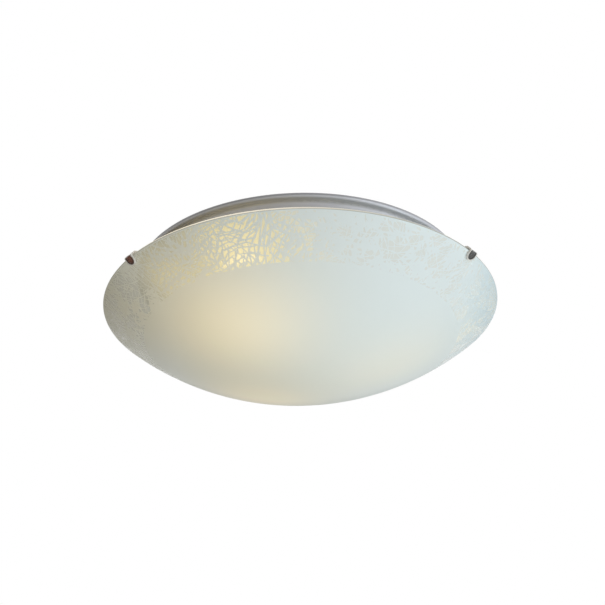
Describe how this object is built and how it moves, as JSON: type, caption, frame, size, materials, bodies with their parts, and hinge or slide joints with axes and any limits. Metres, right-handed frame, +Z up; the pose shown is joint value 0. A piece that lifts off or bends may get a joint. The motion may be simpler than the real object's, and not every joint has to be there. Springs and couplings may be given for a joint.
{
  "type": "flush mount ceiling light",
  "caption": "Shallow opal glass bowl in sprung clips under a round sheet steel canopy with screw-in lamps, fixed to the ceiling by a slotted bar.",
  "frame": {"origin": "middle of the ceiling bar's upper face, on the ceiling plane, between its two screw slots", "axes": "+Z up into the ceiling, along the axis of the canopy and the glass; the two screw slots lie along Y and the pictured side is -Y"},
  "size_m": [0.399, 0.4017, 0.1148],
  "materials": {
    "opal_glass": "satin opal glass with a clear patterned band along the rim",
    "canopy_paint": "satin silver grey paint",
    "zinc_steel": "bright zinc plate",
    "spring_steel": "drawn spring wire",
    "nickel": "nickel plate",
    "clip_chrome": "black nickel plate",
    "clear_vinyl": "clear soft tube",
    "brass": "turned brass",
    "tinned_copper": "tin plate",
    "rivet_aluminium": "plain aluminium",
    "white_plastic": "moulded",
    "white_ceramic": "white glaze",
    "black_ceramic": "black glass",
    "black_rubber": "moulded",
    "lamp_glass": "soft white coating inside",
    "brown_wire": "silicone insulation",
    "blue_wire": "silicone insulation",
    "green_wire": "silicone insulation, green with a yellow stripe"
  },
  "bodies": {
    "root": {"canopy": "canopy_paint", "mounting_bar": "zinc_steel", "bar_studs": "zinc_steel", "cap_nuts": "nickel", "terminal_block": "white_plastic", "terminal_clamps": "brass", "terminal_screws": "zinc_steel", "terminal_fixing": "zinc_steel", "cable_grommet": "black_rubber", "earth_screw": "brass", "earth_washer": "zinc_steel", "earth_lug": "tinned_copper", "live_wires": "brown_wire", "neutral_wires": "blue_wire", "earth_wire": "green_wire", "holder_screws": "zinc_steel", "bracket_rivets": "rivet_aluminium", "guide_rivets": "rivet_aluminium", "holder_shell_right": "white_ceramic", "holder_sleeve_right": "brass", "holder_contact_right": "brass", "holder_bracket_right": "zinc_steel", "holder_shell_rear": "white_ceramic", "holder_sleeve_rear": "brass", "holder_contact_rear": "brass", "holder_bracket_rear": "zinc_steel", "holder_shell_left": "white_ceramic", "holder_sleeve_left": "brass", "holder_contact_left": "brass", "holder_bracket_left": "zinc_steel", "clip_guide_rear": "zinc_steel", "clip_spring_rear": "spring_steel", "clip_guide_left": "zinc_steel", "clip_spring_left": "spring_steel", "clip_guide_right": "zinc_steel", "clip_spring_right": "spring_steel"},
    "shade": {"shade": "opal_glass"},
    "clip_rear": {"clip_arm_rear": "clip_chrome", "clip_cover_rear": "clear_vinyl", "clip_washer_rear": "zinc_steel"},
    "clip_left": {"clip_arm_left": "clip_chrome", "clip_cover_left": "clear_vinyl", "clip_washer_left": "zinc_steel"},
    "clip_right": {"clip_arm_right": "clip_chrome", "clip_cover_right": "clear_vinyl", "clip_washer_right": "zinc_steel"},
    "lamp_right_base": {"lamp_contact_right": "tinned_copper", "lamp_insulator_right": "black_ceramic"},
    "lamp_right": {"lamp_cap_right": "nickel", "lamp_bulb_right": "lamp_glass"},
    "lamp_rear_base": {"lamp_contact_rear": "tinned_copper", "lamp_insulator_rear": "black_ceramic"},
    "lamp_rear": {"lamp_cap_rear": "nickel", "lamp_bulb_rear": "lamp_glass"},
    "lamp_left_base": {"lamp_contact_left": "tinned_copper", "lamp_insulator_left": "black_ceramic"},
    "lamp_left": {"lamp_cap_left": "nickel", "lamp_bulb_left": "lamp_glass"}
  },
  "joints": [
    {"name": "shade_turn", "type": "hinge", "parent": "root", "child": "shade", "pos_m": [0, 0, -0.039], "axis": [0, 0, 1], "continuous": true},
    {"name": "clip_rear_pull", "type": "slide", "parent": "root", "child": "clip_rear", "axis": [-0.0175, 0.9998, 0], "range_m": [0, 0.009], "stiffness_N_per_m": 600, "springref_m": -0.004, "deforming": ["clip_spring_rear"]},
    {"name": "clip_left_pull", "type": "slide", "parent": "root", "child": "clip_left", "axis": [-0.8028, -0.5962, 0], "range_m": [0, 0.009], "stiffness_N_per_m": 600, "springref_m": -0.004, "deforming": ["clip_spring_left"]},
    {"name": "clip_right_pull", "type": "slide", "parent": "root", "child": "clip_right", "axis": [0.8221, -0.5693, 0], "range_m": [0, 0.009], "stiffness_N_per_m": 600, "springref_m": -0.004, "deforming": ["clip_spring_right"]},
    {"name": "lamp_right_out", "type": "slide", "parent": "root", "child": "lamp_right_base", "axis": [1, 0, 0], "range_m": [0, 0.0145]},
    {"name": "lamp_right_unscrew", "type": "hinge", "parent": "lamp_right_base", "child": "lamp_right", "pos_m": [0, 0, -0.052], "axis": [1, 0, 0], "range_deg": [0, 1440]},
    {"name": "lamp_rear_out", "type": "slide", "parent": "root", "child": "lamp_rear_base", "axis": [-0.5, 0.866, 0], "range_m": [0, 0.0145]},
    {"name": "lamp_rear_unscrew", "type": "hinge", "parent": "lamp_rear_base", "child": "lamp_rear", "pos_m": [0, 0, -0.052], "axis": [-0.5, 0.866, 0], "range_deg": [0, 1440]},
    {"name": "lamp_left_out", "type": "slide", "parent": "root", "child": "lamp_left_base", "axis": [-0.5, -0.866, 0], "range_m": [0, 0.0145]},
    {"name": "lamp_left_unscrew", "type": "hinge", "parent": "lamp_left_base", "child": "lamp_left", "pos_m": [0, 0, -0.052], "axis": [-0.5, -0.866, 0], "range_deg": [0, 1440]}
  ],
  "couplings": [
    {"joint": "lamp_right_unscrew", "follows": "lamp_right_out", "rad_per_m": 1731.4},
    {"joint": "lamp_rear_unscrew", "follows": "lamp_rear_out", "rad_per_m": 1731.4},
    {"joint": "lamp_left_unscrew", "follows": "lamp_left_out", "rad_per_m": 1731.4}
  ]
}
